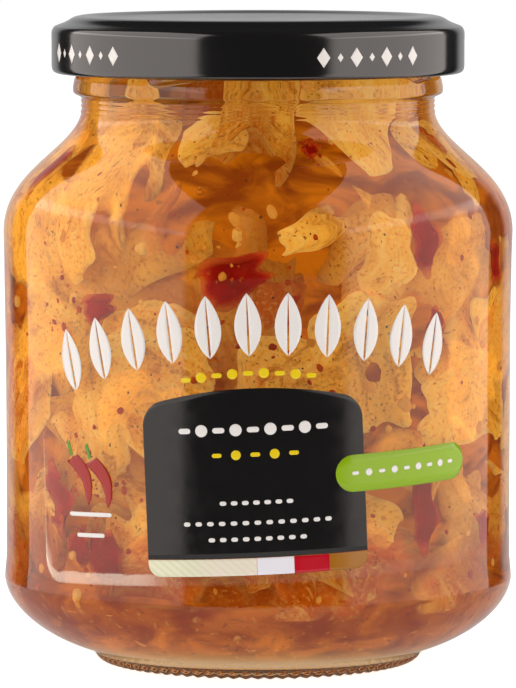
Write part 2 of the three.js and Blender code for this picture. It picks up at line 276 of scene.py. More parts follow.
# the glass
glass = {
    # the panel's radius, and what is added to it at each height of the panel and of the flare above it
    "panelRadius": 42.75, "side": [(0, 18), (0, 46), (0.15, 62), (0.23, 69)],
    # radius and height of the foot from the middle outwards
    "foot": [(0, 2), (22.7, 1.5), (24.6, 0), (26, 0), (27, 0.5), (27.8, 1.7)],
    "heelRadius": 43.1, "heelHeight": 14.5, "heelPower": 1.8, "footRadius": 27.9, "floorHeight": 5.4,
    "shoulderRadius": 43.1, "shoulderHeight": 73.1, "shoulderPull": 11.2, "neckPull": 7.3,
    "neckRadius": 29.8, "neckHeight": 94.6, "wall": 2.3,
    "beadRadius": 31.3, "finishRadius": 30.3, "mouthRadius": 27.6, "rimHeight": 107.25,
    "lugs": 4, "lugStart": -37, "lugSpan": 52, "lugLowest": 98.3, "lugClimb": 4.2, "lugHeight": 1.7,
    "lugReach": 1.9, "segments": 320, "knurls": 80, "knurlDepth": 0.25, "waviness": 0.02,
    "neckRings": [95.1, 94.2, 93.3], "ringHeight": 0.16, "ringWidth": 0.2,
    "tint": (0.985, 0.995, 0.985, 1),
}


def heelCurve(inset, steps, innerRadius, innerHeight):
    angle = np.linspace(0, np.pi / 2, steps + 1)
    outer, top = glass["heelRadius"] - inset, glass["heelHeight"]
    power = 2 / glass["heelPower"]
    radius = innerRadius + (outer - innerRadius) * np.sin(angle) ** power
    height = top - (top - innerHeight) * np.maximum(np.cos(angle), 0) ** power
    return np.stack([radius, height], -1)


def shoulderCurve(inset, steps):
    drop = inset * 0.45
    wide, narrow = glass["shoulderRadius"] - inset, glass["neckRadius"] - inset
    low, high = glass["shoulderHeight"], glass["neckHeight"]
    ends = [(wide, low), (wide, low + glass["shoulderPull"] - drop),
            (narrow - 0.6, high - glass["neckPull"] - drop), (narrow, high)]
    t = np.linspace(0, 1, steps + 1)[:, None]
    weights = [(1 - t) ** 3, 3 * t * (1 - t) ** 2, 3 * t ** 2 * (1 - t), t ** 3]
    return sum(w * np.array(end) for w, end in zip(weights, ends))


def sidePoints(inset):
    return [(glass["panelRadius"] + more - inset, height) for more, height in glass["side"]]


def outerProfile():
    heel = heelCurve(0, 44, 22, 1.5)
    heel = heel[heel[:, 0] > glass["footRadius"]]
    top = (glass["shoulderRadius"], glass["shoulderHeight"])
    panel = filleted([heel[-1], *sidePoints(0), top], 2.5)[1:-1]
    foot = filleted([*glass["foot"], tuple(heel[2])], 0.5)[:-1]
    return foot, np.vstack([heel[2:], panel, shoulderCurve(0, 40)])


def innerProfile(grow=0.0):
    side = sidePoints(glass["wall"])[:3]
    heel = heelCurve(glass["wall"], 30, 20, glass["floorHeight"])
    made = np.vstack([[0, glass["floorHeight"]], heel, side, shoulderCurve(glass["wall"], 30)])
    made[:, 0] = np.where(made[:, 0] > 0, made[:, 0] + grow, 0)
    made[:, 1] -= np.where(made[:, 1] < 12, grow, 0)
    return made


def lugField(angle, radius, height):
    # thread lugs on the outside of the mouth, knurls under the foot, and the slow waves of blown glass
    onFinish = (radius > 29.9) & (height > 97.3)
    along = ((np.degrees(angle) - glass["lugStart"]) % (360 / glass["lugs"])) / glass["lugSpan"]
    taper = np.clip(np.minimum(6 * along, 6 * (1 - along)) + 0.2, 0, 1) * (along < 1)
    middle = glass["lugLowest"] + glass["lugClimb"] * along + glass["lugHeight"] / 2
    swell = np.exp(-np.abs((height - middle) / (0.62 * glass["lugHeight"])) ** 4)
    reach = glass["finishRadius"] + glass["lugReach"] * taper * swell
    radius = np.where(onFinish, np.maximum(radius, reach * (swell * taper > 0.05)), radius)
    for middle in glass["neckRings"]:
        ring = np.exp(-((height - middle) / glass["ringWidth"]) ** 2)
        radius = radius + (radius > 29.2) * glass["ringHeight"] * ring
    foot = (radius > 23) & (radius < 27.6) & (height < 1.3)
    radius = radius + foot * glass["knurlDepth"] * np.cos(glass["knurls"] * angle) * (radius > 25.4)
    height = height + foot * glass["knurlDepth"] * (1 - np.cos(glass["knurls"] * angle)) / 2
    wave = np.sin(3 * angle + height / 9) + np.sin(5 * angle - height / 6 + 1)
    wave = wave + np.sin(height / 4 + 2 * angle)
    body = np.clip((height - 8) / 10, 0, 1) * (height < 95)
    return radius + glass["waviness"] * wave * body, height


def seeThrough(start, tint, bending, gloss):
    # glass and brine; where brine wets the glass, that face has no gloss of its own
    return start.surface({"Base Color": tint, "Roughness": 0.0, "IOR": bending,
                          "Transmission Weight": 1.0, "Specular Tint": (gloss, gloss, gloss, 1)})


def makeGlass():
    bottom, wall = outerProfile()
    bead, finish = glass["beadRadius"], glass["finishRadius"]
    mouth, rim = glass["mouthRadius"], glass["rimHeight"]
    top = [wall[-1], (29.8, 95.7), (bead, 96.4), (bead, 97.5), (bead - 0.3, 99), (finish, 99.8),
           (finish, rim - 0.8), (finish - 0.6, rim), (mouth + 0.6, rim), (mouth, rim - 0.6), (27.5, 94.6)]
    profile = np.vstack([bottom, wall, filleted(top, 0.45)[1:-1], innerProfile()[::-1]])
    ringed = lambda p: abs(p[1] - glass["neckRings"][1]) < 1.6 and p[0] > 29
    profile = denser(profile, lambda p: 0.12 if ringed(p) else 0.45 if p[1] > 97.5 and p[0] > 30 else 3.0)
    points, faces = turned(profile, glass["segments"], lugField)
    dry, wetted = (newFinish(name, seeThrough, glass["tint"], 1.5, gloss)
                   for name, gloss in [("clearGlass", 1), ("wettedGlass", 0)])
    jar = meshPiece("glassJar", points, faces, dry, "clear_glass", ["glass_jar"])
    jar.data.materials.append(wetted)
    jar.visible_shadow = False  # light reaches what is in the jar
    centres = np.zeros(3 * len(jar.data.polygons))
    jar.data.polygons.foreach_get("center", centres)
    x, y, z = centres.reshape(-1, 3).T / mm
    wet = (np.hypot(x, y) < innerRadius(z) + 0.2) & (z > 5) & (z < brine["top"])
    jar.data.polygons.foreach_set("material_index", wet.astype(np.int32))
    return np.vstack([bottom, wall])


# the brine, whose depth shows in the pieces: they are painted darker the further in they lie, as painted
# shade
brine = {"reach": 0.15, "top": 102, "tint": (1, 0.58, 0.14, 1), "segments": 192}


def makeBrine():
    edge = glass["mouthRadius"] + brine["reach"]
    profile = np.vstack([innerProfile(brine["reach"]), (edge, brine["top"]), (0, brine["top"])])
    points, faces = turned(filleted(profile, 0.3), brine["segments"])
    finish = newFinish("orangeBrine", seeThrough, brine["tint"], 1.34, 0)
    meshPiece("brine", points, faces, finish, "kimchi").visible_shadow = False


# the heap in the jar
heap = {
    "seed": 5, "gap": 0.25, "lowest": 12.0, "highest": 101, "clearLeaves": 58, "pepperRoom": 12,
    "sheetHeights": (10, 98), "crumbHeights": (9, 98), "bubbleHeights": (66, 98),
    "coreInset": 4.5, "coreTop": 97, "coreSegments": 128, "mashTop": 13.5, "mashInset": 0.5,
    "blush": 0.2, "glow": 0.34,
}
# layers gives the number of pieces, and their nearest and farthest depth behind the glass
leaf = {
    "layers": [(58, 0.0, 0.8), (58, 1.0, 2.4), (50, 2.8, 4.4)], "cells": 16, "size": (14, 27),
    "thickness": (0.4, 0.8), "bends": [((0.08, 0.4), (11, 24)), ((0.05, 0.2), (5, 9))],
    "ripple": ((0.1, 0.6), (7, 15)), "raggedness": 0.08,
    "pale": "#FACC5C", "amber": "#CA620A", "pith": "#FBE09A", "dark": "#8C4004",
    "veins": 0.5, "fibreSize": 700, "relief": 0.0006, "thinnest": 0.5, "thickest": 0.95, "rimClear": 0.08,
}
stem = {
    "layers": [(52, 0.0, 1.0), (46, 1.2, 3.4)], "cells": 14, "size": (8, 20),
    "thickness": (1.4, 3.0), "bends": [((0.1, 0.45), (18, 34))],
    "ripple": ((0.1, 0.5), (12, 20)), "raggedness": 0.05,
    "pale": "#FACC6A", "amber": "#D06C10", "pith": "#FCE2A4", "dark": "#964808",
    "veins": 0.0, "fibreSize": 420, "relief": 0.0005,
}
# what stands out at the front: angle in degrees from there, height, width, length and turn of each piece
seenStems = [(12.6, 75, 12, 5, 0.3), (-49, 73, 10, 13, 0.3), (31.5, 71, 9, 12, -0.2),
             (47, 41.6, 8, 7, 0.4), (0, 19.5, 6, 5, 0.5)]
seenPeppers = [(-6, 67.8, 12, 7.5, 0.4), (42, 73, 6.5, 10, 0.1), (70.6, 68.7, 3.5, 7, 0.1),
               (16, 87.6, 2.4, 1.8, 0.4), (-40, 62.5, 6.5, 4, 0.3), (-55, 30, 8.5, 11, 0.2),
               (-46, 22, 5, 5.5, 0.7), (42, 29, 5, 13, 0.05), (65, 24.5, 4, 6.5, 0.3),
               (45, 60, 3, 4.5, -0.4)]
placedStem = {"depth": 0, "tone": 0.3, "cells": 14, "thickness": 2, "bends": [(0.3, 20)],
              "ripple": (0.3, 12), "raggedness": 0.09}
pepper = {"depth": -0.2, "cells": 12, "thickness": 1.4, "bends": [(0.35, 14)], "ripple": (0.25, 9),
          "raggedness": 0.13}
# and the groups of crumbs: angle, height, share of all such crumbs and spread
seenGarlic = [(-55.6, 75.6, 0.01, 0.8), (-48, 73.4, 0.01, 0.8), (-28, 73, 0.015, 1.0),
              (-17, 84.8, 0.01, 0.6), (-12, 71, 0.03, 2.0), (-6, 75.5, 0.03, 1.6),
              (-46, 13.5, 0.04, 2.2), (-38, 55, 0.02, 3), (38, 45, 0.02, 2)]
seenFlakes = [(-45, 32, 0.12, 4.5), (-44, 22, 0.06, 3), (16, 87, 0.05, 1.6), (-52, 63, 0.05, 3),
              (5, 64, 0.08, 5)]
# the name of each kind's finish, the number in groups, the groups, the number strewn evenly,
# what lumps takes, and what toned takes
crumbs = {
    "garlicBits": ("garlic", 150, seenGarlic, 130, (0.6, 2.3, 0.0, 0.6, 0.75),
                   ("#E0A04A", "#F6D494", 0.4)),
    "chilliFlakes": ("chilliFlake", 420, seenFlakes, 320, (0.3, 1.3, 0.0, 0.8, 0.4),
                     ("#9C2C0A", "#CC5E10", 0.4)),
    "spiceSpecks": ("spice", 0, [], 620, (0.18, 0.42, 0.0, 0.4, 0.8), ("#3A1B06", "#7A4A10", 0.6)),
}
draw = np.random.default_rng(heap["seed"])


def innerRadius(height):
    wall = innerProfile()[1:]
    return np.interp(height, wall[:, 1], wall[:, 0])


def pressed(value, least, softness):
    # keeps a value above a limit, with a soft bend where it gets there
    over = value - least
    return least + (over + np.sqrt(over ** 2 + softness ** 2)) / 2


def againstWall(local, angle, height, depth, turn):
    # puts a sheet's own points (across, up, inwards) behind the glass at an angle and height
    across = local[..., 0] * math.cos(turn) - local[..., 1] * math.sin(turn)
    up = local[..., 0] * math.sin(turn) + local[..., 1] * math.cos(turn)
    z = pressed(height + up, heap["lowest"], 1.0)
    z = heap["highest"] - pressed(heap["highest"] - z, 0.5, 1.0)
    wall = innerRadius(z)
    radius = np.maximum(wall - pressed(local[..., 2] + depth, heap["gap"], 0.5), 2)
    return polar(angle + across / np.maximum(wall - depth, 18), radius, z)


def bentSheet(cells, wide, tall, thickness, bends, ripple, raggedness):
    # A sheet bent along one direction by a few waves, and rippled along the other.
    # Returns its lower and upper points, how near each is to the outline, and its place on the flat sheet.
    u, v = np.meshgrid(np.linspace(-1, 1, cells + 1), np.linspace(-1, 1, cells + 1), indexing="ij")
    phases = draw.uniform(0, 2 * np.pi, 8)
    corner = 1 - 0.3 * u ** 2 * v ** 2
    notch = 1 + raggedness * (np.sin(5 * v + phases[0]) * u ** 4 + np.sin(5 * u + phases[1]) * v ** 4)
    across = u * wide / 2 * corner * notch
    up = v * tall / 2 * corner * notch * (1 + 0.12 * np.sin(2 * u + phases[2]))
    slope = draw.uniform(-0.25, 0.25) + 0 * u
    for i, (strength, wavelength) in enumerate(bends):
        slope = slope + strength * np.sin(2 * np.pi * across / wavelength + phases[3 + i] + 0.7 * v)
    step = np.gradient(across, axis=0)
    along = np.cumsum(np.cos(slope) * step, axis=0)
    inward = np.cumsum(np.sin(slope) * step, axis=0)
    along -= along.mean()
    edge = np.maximum(np.abs(u), np.abs(v))
    strength, wavelength = ripple
    wave = np.sin(2 * np.pi * up / wavelength + phases[6] + 1.5 * u)
    inward = inward + strength * wave * (0.35 + 0.65 * edge ** 2)
    middle = np.stack([along, up, inward], -1)
    normal = np.cross(np.gradient(middle, axis=0), np.gradient(middle, axis=1))
    normal /= np.linalg.norm(normal, axis=-1, keepdims=True) + 1e-9
    half = thickness / 2 * (1 - 0.55 * edge ** 6)[..., None]
    low, high = middle - normal * half, middle + normal * half
    shift = np.percentile(np.minimum(low[..., 2], high[..., 2]), 12)
    low[..., 2] -= shift
    high[..., 2] -= shift
    flat = np.stack([across, up, 0 * u], -1)
    return low, high, edge, flat


def sheetPart(cells, shape, angle, height, depth, turn, tone=None):
    low, high, edge, flat = shape
    points = [againstWall(side, angle, height, depth, turn).reshape(-1, 3) for side in (low, high)]
    points = np.concatenate(points)
    offset = draw.uniform(-500, 500, 3)
    tone = draw.uniform() if tone is None else tone
    # the pieces are painted paler at the neck and at the front's sides: painted light where the side
    # panels shine in and where the lid shades the neck
    atNeck = np.clip((points[:, 2] - 86) / 6, 0, 1)
    side = (math.degrees(angle) + 180) % 360 - 180
    paintedSideLight = np.interp(side, [-85, -70, -30, -15, 15, 30, 70, 85], [0, 0.55, 0.55, 0.1, 0.1, 0.95, 0.95, 0])
    atFoot = np.clip((27 - points[:, 2]) / 8, 0, 1)  # and redder and darker towards the bottom
    behindWall = innerRadius(points[:, 2]) - np.hypot(points[:, 0], points[:, 1])
    return points, slabFaces(cells + 1, cells + 1), {
        "tone": tone * (1 - paintedSideLight) + 0.6 * atFoot, "rim": np.tile(edge.ravel(), 2),
        "deep": behindWall * (1 - 0.1 * atNeck) * (1 - 0.4 * paintedSideLight) + 2 * atFoot,
        "flat": np.tile((flat.reshape(-1, 3) + offset) * mm, (2, 1))}


def scattered(count, low, high):
    # evenly strewn angles and heights: one golden step round for each step up the wall's area
    heights = np.linspace(low, high, 400)
    area = np.cumsum(innerRadius(heights))
    order = draw.permutation(count)
    for i in range(count):
        height = np.interp((order[i] + 0.5) / count, area / area[-1], heights) + draw.uniform(-3, 3)
        yield order[i] * 2.39996 + draw.uniform(-0.12, 0.12), height


def behindPeppers(angle, height, depth):
    # a piece that would hide one of the red pieces lies further back
    for side, level, *_ in seenPeppers:
        off = (math.degrees(angle) - side + 180) % 360 - 180
        if math.hypot(math.radians(off) * 40, height - level) < heap["pepperRoom"]:
            return max(depth, 0) + 2.6
    return depth


def strewnSheets(kind):
    parts = []
    for count, near, far in kind["layers"]:
        for angle, height in scattered(count, *heap["sheetHeights"]):
            wide, tall = draw.uniform(*kind["size"], 2)
            bends = [[draw.uniform(*span) for span in bend] for bend in kind["bends"]]
            ripple = [draw.uniform(*span) for span in kind["ripple"]]
            thickness = draw.uniform(*kind["thickness"])
            shape = bentSheet(kind["cells"], wide, tall, thickness, bends, ripple, kind["raggedness"])
            depth = behindPeppers(angle, height, draw.uniform(near, far))
            turn = draw.uniform(0, np.pi)
            parts.append(sheetPart(kind["cells"], shape, angle, height, depth, turn))
    return parts


def placedSheets(places, depth, cells, thickness, bends, ripple, raggedness, tone=None):
    parts = []
    for side, height, wide, tall, turn in places:
        shape = bentSheet(cells, wide, tall, thickness, bends, ripple, raggedness)
        parts.append(sheetPart(cells, shape, math.radians(side), height, depth, turn, tone))
    return parts


def cabbageFinish(start, look, clear=False):
    # soaked leaf or stem: blotched pale and amber, with pale veins and rims; painted shade darkens the
    # hollows of its folds and the pieces deep in the jar
    tone, rim, deep = (start.attribute(name) for name in ("tone", "rim", "deep"))
    flat = start.attribute("flat", 1)
    cloud = start.noise(flat, 110, 3, 0.6)
    mottle = start.noise(flat, 480, 3)
    grain = start.noise(flat, 1700, 2)
    soak = (cloud * 0.9 + tone * 0.8 + mottle * 0.35 - 0.6).fade(0.12, 0.8)
    size = look["fibreSize"]
    lines = start.noise(start.stretched(flat, (size, size * 0.12, 1)), 1.0, 3, 0.4).fade(0.5, 0.72)
    if look["veins"]:
        # along the curved lines where a noise passes through its middle value
        veins = start.math("ABSOLUTE", start.noise(flat, 130, 2, 0.8) - 0.5).fade(0.0, 0.035, 1.0, 0.0)
        lines = lines * (1 - look["veins"]) + veins * look["veins"]
    folds = start.noise(start.stretched(flat, (270, 70, 1)), 1.0, 4, 1.4)
    base = layered(
        soak.tint(colour(look["pale"]), colour(look["amber"])),
        (start.noise(flat, 60, 2).fade(0.5, 0.66), heap["blush"], "#C8641C"),
        (folds.fade(0.5, 0.72), 0.6, look["pith"]),
        # painted shade: darker in the hollows of the folds' relief
        (folds.fade(0.48, 0.3), 0.5, look["dark"]),
        (lines, 0.5, look["pith"]),
        (grain.fade(0.52, 0.7), 0.45, look["pith"]),
        (grain.fade(0.46, 0.3), 0.45, look["dark"]),
        (rim.fade(0.86, 1.0), 0.5, look["pith"]),
        (start.noise(flat, 1500, 1).fade(0.68, 0.73), 0.7, "#6E2A06"),
        # painted shade: darker the deeper the piece lies behind the glass
        (deep.fade(0.5, 4.6), 0.85, look["dark"]))
    # the pieces give off a little light of their own colour: a painted glow in place of the light that
    # brine and soft flesh pass on from all sides
    shine = {"Base Color": base, "Roughness": 0.34, "Specular IOR Level": 0.1,
             "Emission Color": base, "Emission Strength": heap["glow"],
             "Normal": start.bump(lines * 0.4 + folds * 0.4 + mottle * 0.2, look["relief"])}
    if clear:
        thin = cloud.fade(0.3, 0.7, look["thinnest"], look["thickest"])
        shine["Alpha"] = rim.fade(0.55, 1.0, 1.0, look["rimClear"]) * thin
    return start.surface(shine)


def pepperFinish(start):
    # dark red flesh, hazy with brine towards its rim, painted darker the deeper it lies as painted shade,
    # with a little painted glow
    flat, rim, deep = start.attribute("flat", 1), start.attribute("rim"), start.attribute("deep")
    base = layered(start.noise(flat, 260, 3).tint(colour("#6E0604"), colour("#B81410")),
                   (rim.fade(0.8, 1.0), 0.5, "#B4421C"), (deep.fade(0.6, 4.0), 0.5, "#5E1A04"))
    return start.surface({
        "Base Color": base, "Roughness": 0.25, "Specular IOR Level": 0.2,
        "Alpha": rim.fade(0.6, 1.0, 0.95, 0.3), "Emission Color": base, "Emission Strength": 0.15,
        "Normal": start.bump(start.noise(flat, 900, 2), 0.0002)})


def clustered(count, clusters):
    # places near the middles of clusters, given as angle, height, share of the count and spread
    for angle, height, share, spread in clusters:
        for _ in range(round(count * share)):
            off = draw.normal(0, spread, 2)
            yield math.radians(angle) + off[0] / 40, height + off[1]


def lumps(places, low, high, near, far, flatness):
    # rounded bits, each of two square grids blown up to the halves of a ball, then dented
    side = 6
    u, v = np.meshgrid(np.linspace(-1, 1, side), np.linspace(-1, 1, side), indexing="ij")
    x, y = u * np.sqrt(1 - v ** 2 / 2), v * np.sqrt(1 - u ** 2 / 2)
    rise = 0.1 + 0.9 * np.sqrt(np.maximum(1 - x ** 2 - y ** 2, 0))
    ball = np.concatenate([np.stack([x, y, half * rise], -1).reshape(-1, 3) for half in (-1, 1)])
    parts = []
    for angle, height in places:
        size = low + (high - low) * draw.uniform() ** 2
        stretch = draw.uniform(0.7, 1.3, 3) * (1, 1, flatness)
        dents = 1 + 0.16 * np.sin(ball @ draw.uniform(-4, 4, 3) + draw.uniform(0, 6))
        local = ball * stretch * dents[:, None] * size / 2
        local[:, 2] += size * flatness / 2
        points = againstWall(local, angle, height, draw.uniform(near, far), draw.uniform(0, np.pi))
        parts.append((points, slabFaces(side, side), {"tone": np.full(len(points), draw.uniform())}))
    return parts


def toned(start, first, second, roughness):
    patch = start.noise(start.place(), 900, 3)
    base = layered(start.attribute("tone").tint(colour(first), colour(second)),
                   (patch.fade(0.35, 0.7), 0.4, first))
    # a painted glow: the crumbs give off a little light of their own colour
    return start.surface({
        "Base Color": base, "Roughness": roughness, "Specular IOR Level": 0.25,
        "Emission Color": base, "Emission Strength": 0.2, "Normal": start.bump(patch, 0.0002)})


def mashFinish(start):
    # the mass between the pieces: amber above and settled red-brown mash with pale crumbs below; it glows
    # a little as painted light, and its very bottom is painted pale and glows whiter, as painted light
    # from the table beneath
    place = start.place()
    height, = start.outputs("ShaderNodeSeparateXYZ", "Z", {0: place})
    streaks = start.noise(start.stretched(place, (90, 90, 200)), 1.0, 4, 0.8)
    crumbs = start.noise(start.warped(place, 400, 0.002), 700, 3)
    above = streaks.fade(0.35, 0.65).tint(colour("#8A4406"), colour("#D08416"))
    mash = layered(streaks.fade(0.34, 0.66).tint(colour("#9C420A"), colour("#F09A36")),
                   (crumbs.fade(0.6, 0.72), 0.65, "#FBD28C"), (crumbs.fade(0.4, 0.28), 0.6, "#6A2406"),
                   (height.fade(0.0085, 0.0115), 0.5, "#863604"),
                   # painted light: the very bottom is painted pale, as if lit from the table beneath
                   (height.fade(0.006, 0.0084, 1.0, 0.0), 1.0, "#FBDCA8"))
    base = height.fade(0.016, 0.0125).tint(above, mash)
    # painted glow, whiter and bluer at the very bottom
    glow = height.fade(0.0062, 0.0072, 1.0, 0.0).tint(base, (1.1, 1.1, 1.4, 1))
    return start.surface({
        "Base Color": base, "Roughness": 0.5, "Specular IOR Level": 0.15,
        "Emission Color": glow, "Emission Strength": 0.3,
        "Normal": start.bump(crumbs * 0.5 + streaks * 0.5, 0.0006)})


def bubbleFinish(start):
    # air in brine
    haze = start.noise(start.place(), 900, 2).fade(0.3, 0.7, 0.0, 0.06)
    return start.surface({
        "Base Color": (1, 1, 1, 1), "Roughness": haze, "IOR": 0.75, "Transmission Weight": 1.0})


def makeHeap():
    # the leaves that lie nearest to the glass let what is behind them show through
    parts = strewnSheets(leaf)
    finish = newFinish("clearLeaf", cabbageFinish, leaf, True)
    leaves = partsPiece("cabbageLeaves", parts, finish, "kimchi", ["kimchi"])
    leaves.data.materials.append(newFinish("cabbageLeaf", cabbageFinish, leaf))
    number = np.arange(len(leaves.data.polygons)) // len(parts[0][1])
    leaves.data.polygons.foreach_set("material_index", (number >= heap["clearLeaves"]).astype(np.int32))

    parts = strewnSheets(stem) + placedSheets(seenStems, **placedStem)
    partsPiece("cabbageStems", parts, newFinish("cabbageStem", cabbageFinish, stem), "kimchi")
    # seven more peppers round the back
    more = [(100 + 37 * i, 18 + 13 * i % 75, draw.uniform(4, 9), draw.uniform(5, 9), draw.uniform(0, 3))
            for i in range(7)]
    parts = placedSheets(seenPeppers + more, **pepper)
    partsPiece("redPepper", parts, newFinish("redPepper", pepperFinish), "kimchi")

    for name, (finish, grouped, groups, strewn, shape, look) in crumbs.items():
        places = [*clustered(grouped, groups), *scattered(strewn, *heap["crumbHeights"])]
        partsPiece(name, lumps(places, *shape), newFinish(finish, toned, *look), "kimchi")
    bubbles = [(math.radians(7.8), 84.9), *scattered(22, *heap["bubbleHeights"])]
    parts = lumps(bubbles, 0.5, 1.5, -0.1, 0.0, 1.0)
    partsPiece("airBubbles", parts, newFinish("airBubble", bubbleFinish), "kimchi")

    # the core, with the mash that has settled round its foot
    wall = innerProfile()[1:]
    inset, floor, highest = heap["mashInset"], glass["floorHeight"], heap["coreTop"]
    low, top = wall[wall[:, 1] < heap["mashTop"]], wall[wall[:, 1] >= heap["mashTop"]][::3]
    low = np.stack([low[:, 0] - inset, np.maximum(low[:, 1], floor) + inset], -1)
    top = np.stack([np.maximum(top[:, 0] - heap["coreInset"], 3), top[:, 1] + 1.5], -1)
    core = np.vstack([(0, floor + inset), low, top[top[:, 1] < highest], (20, highest), (0, highest)])

    def lumpy(angle, radius, height):
        bumps = np.sin(7 * angle + height / 3) + np.sin(11 * angle - height / 2.3)
        bumps = bumps + np.sin(5 * angle + height / 5)
        upper = height > heap["mashTop"]
        return radius + np.where(upper, 0.5, -0.07) * (bumps + (1 - upper) * 3) * (radius > 5), height

    points, faces = turned(denser(core, lambda p: 1.5), heap["coreSegments"], lumpy)
    meshPiece("innerMass", points, faces, newFinish("innerMass", mashFinish), "kimchi")


# the lid
lid = {
    "segments": 256, "skirt": 34.9, "prints": 4, "firstPrint": -57.6, "marks": 7, "markSpan": 29,
    "markHeight": 103.5, "markSize": (2.3, 3.3), "markLift": 0.02, "markThickness": 0.03,
    # radius and height from the middle of the panel's underside to the middle of its top
    "profile": [(0, 107.6), (31.6, 107.6), (34.2, 106.1), (34.2, 101.3), (33.4, 100.1), (34, 99.7),
                (34.7, 100.1), (34.9, 100.8), (34.9, 106.8), (34.5, 107.6), (32.4, 108.4), (31.2, 109.2),
                (29.6, 109.5), (28.2, 109.25), (27, 108.95), (20, 108.5), (13, 108.2), (0, 108)],
}


def lacquer(start):
    place = start.place()
    orange = start.noise(place, 260, 2)
    return start.surface({
        "Base Color": colour("#0C0B0B"), "Roughness": start.noise(place, 60, 3).fade(0.3, 0.7, 0.1, 0.15),
        "IOR": 1.9, "Normal": start.bump(orange, 0.00001)})


def makeLid():
    profile = denser(filleted(lid["profile"], 0.8), lambda p: 2.0)
    points, faces = turned(profile, lid["segments"])
    meshPiece("twistLid", points, faces, newFinish("blackLacquer", lacquer), "black_lacquer", ["lid"])


def makeLidMarks():
    # lozenges and dots printed on the skirt, four rows round it
    wide, tall = lid["markSize"]
    inner = lid["skirt"] + lid["markLift"]
    parts = []
    for i in range(lid["prints"]):
        for k in range(lid["marks"]):
            turn = lid["firstPrint"] + 360 / lid["prints"] * i
            turn += lid["markSpan"] * (k / (lid["marks"] - 1) - 0.5)
            share = 1 if k % 2 == 0 else 0.45
            u = np.linspace(-0.98, 0.98, 11)[:, None]
            v = (1 - np.abs(u)) * np.linspace(-1, 1, 5)[None, :]
            angle = math.radians(turn) + u * wide * share / 2 / lid["skirt"] + 0 * v
            height = lid["markHeight"] + v * tall * share / 2
            layers = [polar(angle, radius, height).reshape(-1, 3)
                      for radius in (inner, inner + lid["markThickness"])]
            parts.append((np.vstack(layers), slabFaces(11, 5), {}))
    partsPiece("lidLozenges", parts, newFinish("lidInk", ink, "#CBC7C3"), "white_ink")


# the label
label = {
    "tilt": 2.5, "foot": 22.54, "lift": 0.09, "ink": 0.04, "markGap": 0.015, "markThickness": 0.02,
    "filmWidth": 82.4, "filmLow": -4.4, "filmHigh": 45.6, "filmCorner": 4,
    "filmLift": 0.04, "filmThickness": 0.03,
    "fieldWidth": 36.9, "fieldCrown": 27.73, "fieldBow": 0.00777, "fieldCorner": 3.1, "fieldSide": 21.8,
    "ribbonHeight": 2.85, "ribbonCorner": 2.2, "gap": 0.06, "hatchPitch": 5200,
    "tagAlong": 26.4, "tagUp": 12.8, "tagLength": 26, "tagHeight": 6.1, "tagStep": 0.06,
    "leaves": 11, "leafSpacing": 6.55, "leafLength": 10.3, "leafWidth": 4.5, "leafCrown": 38.1,
    "leafBow": 0.0051, "leafFan": 0.34, "leafMidrib": 0.35,
    "chilliLength": 8.4, "chilliWidth": 3.4, "chilliLean": 24, "chillies": [(-31.6, 12.6), (-27.4, 12.2)],
    # each row's start, length, number of marks and height, then the marks' length, the thickness of
    # every first and every second one, the columns of a mark, and how much the row bows
    "fieldRows": [(-5.3, 10.9, 7, 9.05, 1.1, 0.7, 0.7, 10), (-11.4, 23.25, 13, 5.75, 1.1, 0.7, 0.7, 10),
                  (-7.4, 15.0, 9, 3.1, 1.1, 0.7, 0.7, 10), (-11.2, 22.6, 9, 21.0, 2.0, 0.9, 2.0, 14)],
    "tagRow": (16.8, 19.2, 9, 12.8, 1.2, 0.6, 1.2, 10),
    "yellowRow": (-6, 12.6, 5, 16.9, 1.6, 0.7, 1.6, 12),
    "crownRow": (-10.6, 20.6, 9, 30.2, 1.7, 0.8, 1.7, 12, 0.008),
    "bars": [(-29.7, 7.2, 9.2), (-29.7, 3.75, 6.0)],
}


def onGlass(across, up, lift):
    # a point of the label's own flat drawing, turned by its tilt and put on the outside of the glass
    tilt = math.radians(label["tilt"])
    along = across * math.cos(tilt) - up * math.sin(tilt)
    height = label["foot"] + across * math.sin(tilt) + up * math.cos(tilt)
    radius = np.interp(height, wallLine[:, 1], wallLine[:, 0]) + lift
    return polar(along / glass["panelRadius"], radius, height)


def plate(across, up, lift=label["lift"], thickness=label["ink"]):
    # a thin plate over a grid of places on the label
    layers = [onGlass(across, up, lift + side * thickness).reshape(-1, 3) for side in (0, 1)]
    return np.vstack(layers), slabFaces(*across.shape), {}


def band(start, end, low, high, columns=48, rows=8, **layer):
    # a plate between two edges that are given over its width; its columns crowd towards both ends
    t = (1 - np.cos(np.pi * np.linspace(0, 1, columns + 1))) / 2
    across = np.repeat((start + (end - start) * t)[:, None], rows + 1, 1)
    share = np.linspace(0, 1, rows + 1)[None, :]
    up = low(across) + (high(across) - low(across)) * share
    return plate(across, up, **layer)


def fall(distance, corner):
    inside = np.clip(corner - distance, 0, corner)
    return corner - np.sqrt(np.maximum(corner ** 2 - inside ** 2, 0))


def pill(across, up, length, height, columns=20, **layer):
    # a bar with round ends, or a dot where its length is its height
    half = length / 2 - 0.01
    rise = lambda x: height / 2 - fall(length / 2 - np.abs(x - across), height / 2)
    low, high = lambda x: up - rise(x), lambda x: up + rise(x)
    return band(across - half, across + half, low, high, columns, 4, **layer)


def markRow(start, length, count, up, wide, bar, dot, columns, bow=0.0, **layer):
    # a row of bars of one thickness and, in turn with them, of another, or of dots
    row = []
    for i in range(count):
        along = length * i / (count - 1)
        middle = up - bow * (along - length / 2) ** 2
        row.append(pill(start + along, middle, wide, dot if i % 2 else bar, columns, **layer))
    return row


